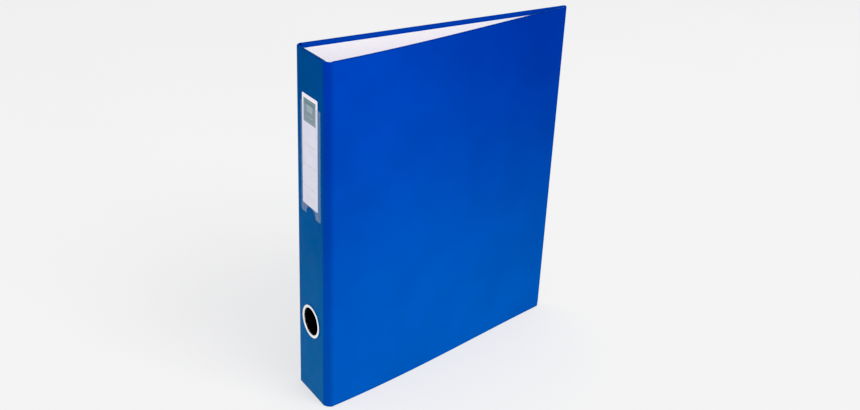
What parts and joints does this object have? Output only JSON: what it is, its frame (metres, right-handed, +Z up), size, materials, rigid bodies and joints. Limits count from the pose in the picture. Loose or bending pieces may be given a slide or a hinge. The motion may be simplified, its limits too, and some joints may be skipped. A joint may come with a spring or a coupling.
{
  "type": "lever arch file",
  "caption": "Upright A4 board file: spine with finger ring and label pocket, hinged covers, and a lever that opens two wire arches over fixed posts.",
  "frame": {"origin": "middle of the file's footprint, on the surface it stands on", "axes": "+Z up along the spine's height; -X out of the spine; -Y out of the front cover; +Y out of the rear cover"},
  "size_m": [0.281, 0.0568, 0.32],
  "materials": {
    "cover_film": "matt blue polypropylene film with a very fine grain",
    "fold_film": "the same blue film, folded at the hinges",
    "greyboard": "grey bookbinding board",
    "lining": "smooth white lining paper",
    "nickel_plate": "bright nickel plate on steel",
    "spring_steel": "blued spring steel",
    "roller_plastic": "white moulded plastic",
    "black_plastic": "matt black moulded plastic",
    "clear_film": "clear glossy film",
    "card_stock": "white card with a faint lilac tint, ruled"
  },
  "bodies": {
    "rear_cover": {"rear_cover_skin": "cover_film", "rear_cover_board": "greyboard", "rear_cover_lining": "lining", "rear_hinge_film": "fold_film", "rear_hinge_lining": "lining", "base_plate": "nickel_plate", "rivet_1": "nickel_plate", "rivet_2": "nickel_plate", "rivet_3": "nickel_plate", "rivet_4": "nickel_plate", "post_lower": "nickel_plate", "post_upper": "nickel_plate", "lever_pin": "nickel_plate", "leaf_spring": "spring_steel"},
    "spine": {"spine_skin": "cover_film", "spine_board": "greyboard", "spine_lining": "lining", "front_hinge_film": "fold_film", "front_hinge_lining": "lining", "finger_ring": "nickel_plate", "finger_ring_washer": "nickel_plate", "finger_ring_sleeve": "black_plastic", "label_pocket": "clear_film"},
    "front_cover": {"front_cover_skin": "cover_film", "front_cover_board": "greyboard", "front_cover_lining": "lining"},
    "label_card": {"label_card": "card_stock"},
    "arches": {"arch_wire": "nickel_plate"},
    "lever": {"lever": "nickel_plate", "roller_pin": "nickel_plate"},
    "roller": {"roller": "roller_plastic"},
    "compressor": {"compressor_bar": "nickel_plate"}
  },
  "joints": [
    {"name": "spine_hinge", "type": "hinge", "parent": "rear_cover", "child": "spine", "pos_m": [-0.1385, 0.02655, 0.16], "axis": [0, 0, -1], "range_deg": [0, 90], "deforming": ["rear_hinge_film", "rear_hinge_lining"]},
    {"name": "front_cover_hinge", "type": "hinge", "parent": "spine", "child": "front_cover", "pos_m": [-0.1385, -0.02745, 0.16], "axis": [0, 0, -1], "range_deg": [0, 175], "deforming": ["front_hinge_film", "front_hinge_lining"]},
    {"name": "lever_lift", "type": "hinge", "parent": "rear_cover", "child": "lever", "pos_m": [-0.092, 0.01255, 0.16], "axis": [0, 0, 1], "range_deg": [0, 64]},
    {"name": "arch_swing", "type": "hinge", "parent": "rear_cover", "child": "arches", "pos_m": [-0.1115, 0.02105, 0.16], "axis": [0, 0, -1], "range_deg": [0, 36]},
    {"name": "roller_spin", "type": "hinge", "parent": "lever", "child": "roller", "pos_m": [-0.10118, 0.01501, 0.16], "axis": [0, 0, 1], "continuous": true},
    {"name": "compressor_slide", "type": "slide", "parent": "rear_cover", "child": "compressor", "axis": [0, -1, 0], "range_m": [0, 0.012]},
    {"name": "label_card_slide", "type": "slide", "parent": "spine", "child": "label_card", "axis": [0, 0, 1], "range_m": [0, 0.03]}
  ],
  "couplings": [
    {"joint": "arch_swing", "follows": "lever_lift", "ratio": 0.5625}
  ]
}
